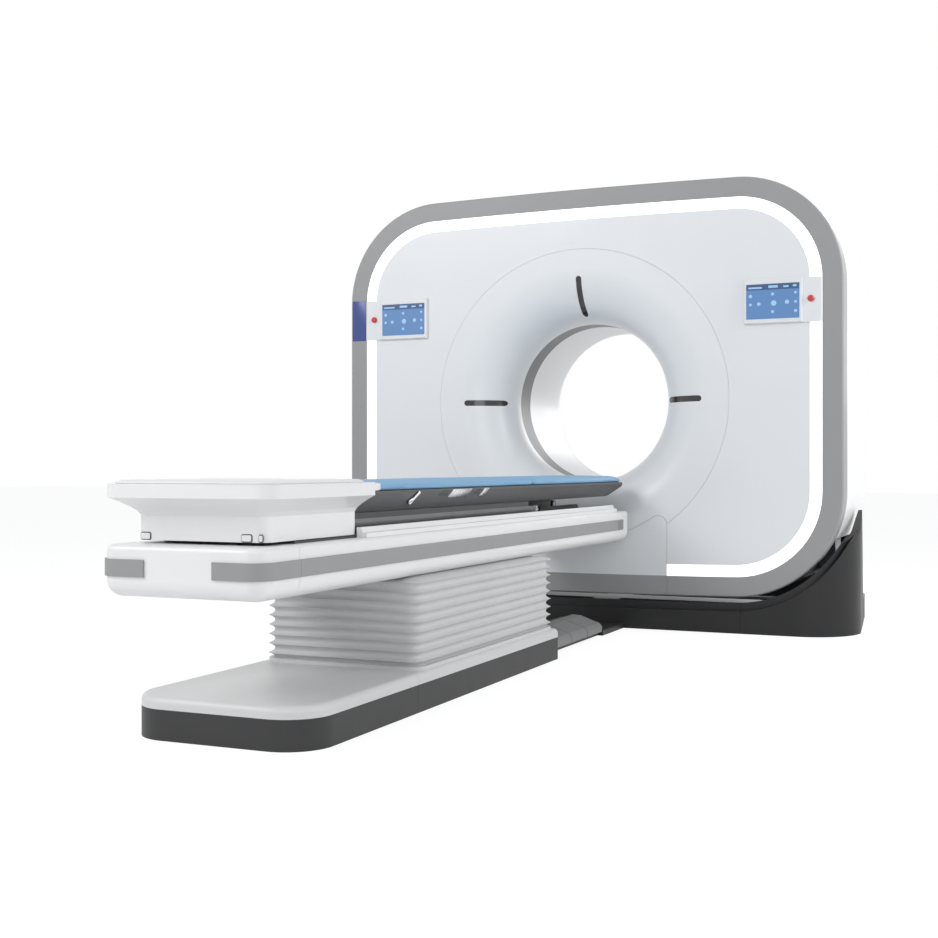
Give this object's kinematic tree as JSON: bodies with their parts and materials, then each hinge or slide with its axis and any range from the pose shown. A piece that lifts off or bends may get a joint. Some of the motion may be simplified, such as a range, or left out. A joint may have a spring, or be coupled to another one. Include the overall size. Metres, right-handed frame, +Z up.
{
  "type": "ct scanner",
  "caption": "Tilting ring gantry with a wide bore on a floor base, in front of it a lifting patient table with a sliding padded pallet, foot console, bellows and foot pedals.",
  "frame": {"origin": "on the floor under the middle of the gantry, in the scan plane", "axes": "+Z up from the floor, +Y along the bore axis from the table into the gantry, +X to the right as seen from the table"},
  "size_m": [2.384, 3.857, 1.936],
  "materials": {
    "grey_bezel": "satin",
    "front_white": "satin",
    "cover_white": "satin",
    "light_band": "lit diffuser",
    "dark_window": "gloss",
    "scan_ring": "matte",
    "screen": "lit display",
    "button_red": "gloss",
    "painted_steel": "satin",
    "bearing_steel": "ground",
    "machined_aluminium": "machined",
    "housing_grey": "satin",
    "slip_copper": "turned",
    "base_dark": "satin",
    "plinth_dark": "satin",
    "base_grey": "satin",
    "bellows_grey": "matte",
    "beam_white": "satin",
    "bumper_grey": "matte",
    "deck_dark": "satin",
    "rail_steel": "ground",
    "roller_white": "satin",
    "pallet_dark": "satin",
    "pad_blue": "coated fabric",
    "pedal_grey": "matte"
  },
  "bodies": {
    "root": {"gantry_base_frame": "painted_steel", "gantry_base_centre_cover": "base_dark", "gantry_base_side_covers": "base_dark", "tilt_stands": "painted_steel", "tilt_gear_motor": "housing_grey", "table_base_frame": "painted_steel", "plinth_skirts": "plinth_dark", "base_cover_foot": "base_grey", "base_cover_head": "base_grey", "floor_bridge": "base_dark", "lift_columns_outer": "machined_aluminium", "lift_bellows": "bellows_grey"},
    "gantry": {"bezel_ring": "grey_bezel", "bezel_sill": "grey_bezel", "light_band": "light_band", "front_cover": "front_white", "apron_panel": "front_white", "front_funnel": "front_white", "marking_light_windows": "dark_window", "scan_window_ring": "scan_ring", "bore_tunnel": "cover_white", "rear_funnel": "cover_white", "rear_cover": "cover_white", "top_cover": "cover_white", "side_covers": "cover_white", "underside_pan": "base_dark", "panel_housings": "front_white", "touch_screens": "screen", "tilting_frame": "machined_aluminium", "main_bearing_outer": "bearing_steel", "slip_ring_brushes": "housing_grey", "drive_motor_stator": "painted_steel"},
    "rotor": {"rotor_drum": "machined_aluminium", "main_bearing_inner": "bearing_steel", "x_ray_tube": "painted_steel", "beam_collimator": "painted_steel", "detector_arc": "housing_grey", "high_voltage_generator": "housing_grey", "rotor_heat_exchanger": "machined_aluminium", "slip_ring": "slip_copper"},
    "stop_button_right": {"stop_button_right": "button_red"},
    "stop_button_left": {"stop_button_left": "button_red"},
    "lift_stage": {"lift_columns_middle": "machined_aluminium"},
    "table": {"beam_frame": "machined_aluminium", "lift_columns_inner": "machined_aluminium", "beam_foot_cover": "beam_white", "beam_side_covers": "beam_white", "beam_tip_cover": "beam_white", "bumper_strips": "bumper_grey", "beam_deck": "deck_dark", "guide_rails": "rail_steel"},
    "support_roller": {"support_roller": "roller_white"},
    "pallet": {"pallet_shell": "pallet_dark", "pallet_pad": "pad_blue", "head_pad": "pad_blue", "foot_box": "beam_white", "pallet_carriage": "deck_dark"},
    "pedal_1": {"foot_pedal_1": "pedal_grey"},
    "pedal_2": {"foot_pedal_2": "pedal_grey"},
    "pedal_3": {"foot_pedal_3": "pedal_grey"}
  },
  "joints": [
    {"name": "gantry_tilt", "type": "hinge", "parent": "root", "child": "gantry", "pos_m": [0, 0, 0.995], "axis": [1, 0, 0], "range_deg": [-2, 24]},
    {"name": "rotor_spin", "type": "hinge", "parent": "gantry", "child": "rotor", "pos_m": [0, 0, 0.995], "axis": [0, 1, 0], "continuous": true},
    {"name": "stop_button_right_press", "type": "slide", "parent": "gantry", "child": "stop_button_right", "axis": [0, 1, 0], "range_m": [0, 0.004], "stiffness_N_per_m": 500, "springref_m": -0.002},
    {"name": "stop_button_left_press", "type": "slide", "parent": "gantry", "child": "stop_button_left", "axis": [0, 1, 0], "range_m": [0, 0.004], "stiffness_N_per_m": 500, "springref_m": -0.002},
    {"name": "table_lift", "type": "slide", "parent": "root", "child": "table", "axis": [0, 0, 1], "range_m": [-0.14, 0.24], "deforming": ["lift_bellows"]},
    {"name": "lift_stage_slide", "type": "slide", "parent": "root", "child": "lift_stage", "axis": [0, 0, 1], "range_m": [-0.07, 0.12]},
    {"name": "pallet_slide", "type": "slide", "parent": "table", "child": "pallet", "axis": [0, 1, 0], "range_m": [0, 0.08]},
    {"name": "support_roller_spin", "type": "hinge", "parent": "table", "child": "support_roller", "pos_m": [0, -0.916, 0.5547], "axis": [1, 0, 0], "range_deg": [-240, 0]},
    {"name": "pedal_1_press", "type": "hinge", "parent": "root", "child": "pedal_1", "pos_m": [0.092, -1.089, 0.058], "axis": [0, 1, 0], "range_deg": [0, 6], "stiffness_Nm_per_rad": 20, "springref_deg": -3.44},
    {"name": "pedal_2_press", "type": "hinge", "parent": "root", "child": "pedal_2", "pos_m": [0.092, -0.902, 0.058], "axis": [0, 1, 0], "range_deg": [0, 6], "stiffness_Nm_per_rad": 20, "springref_deg": -3.44},
    {"name": "pedal_3_press", "type": "hinge", "parent": "root", "child": "pedal_3", "pos_m": [0.092, -0.715, 0.058], "axis": [0, 1, 0], "range_deg": [0, 6], "stiffness_Nm_per_rad": 20, "springref_deg": -3.44}
  ],
  "couplings": [
    {"joint": "lift_stage_slide", "follows": "table_lift", "ratio": 0.5},
    {"joint": "support_roller_spin", "follows": "pallet_slide", "rad_per_m": -50}
  ]
}
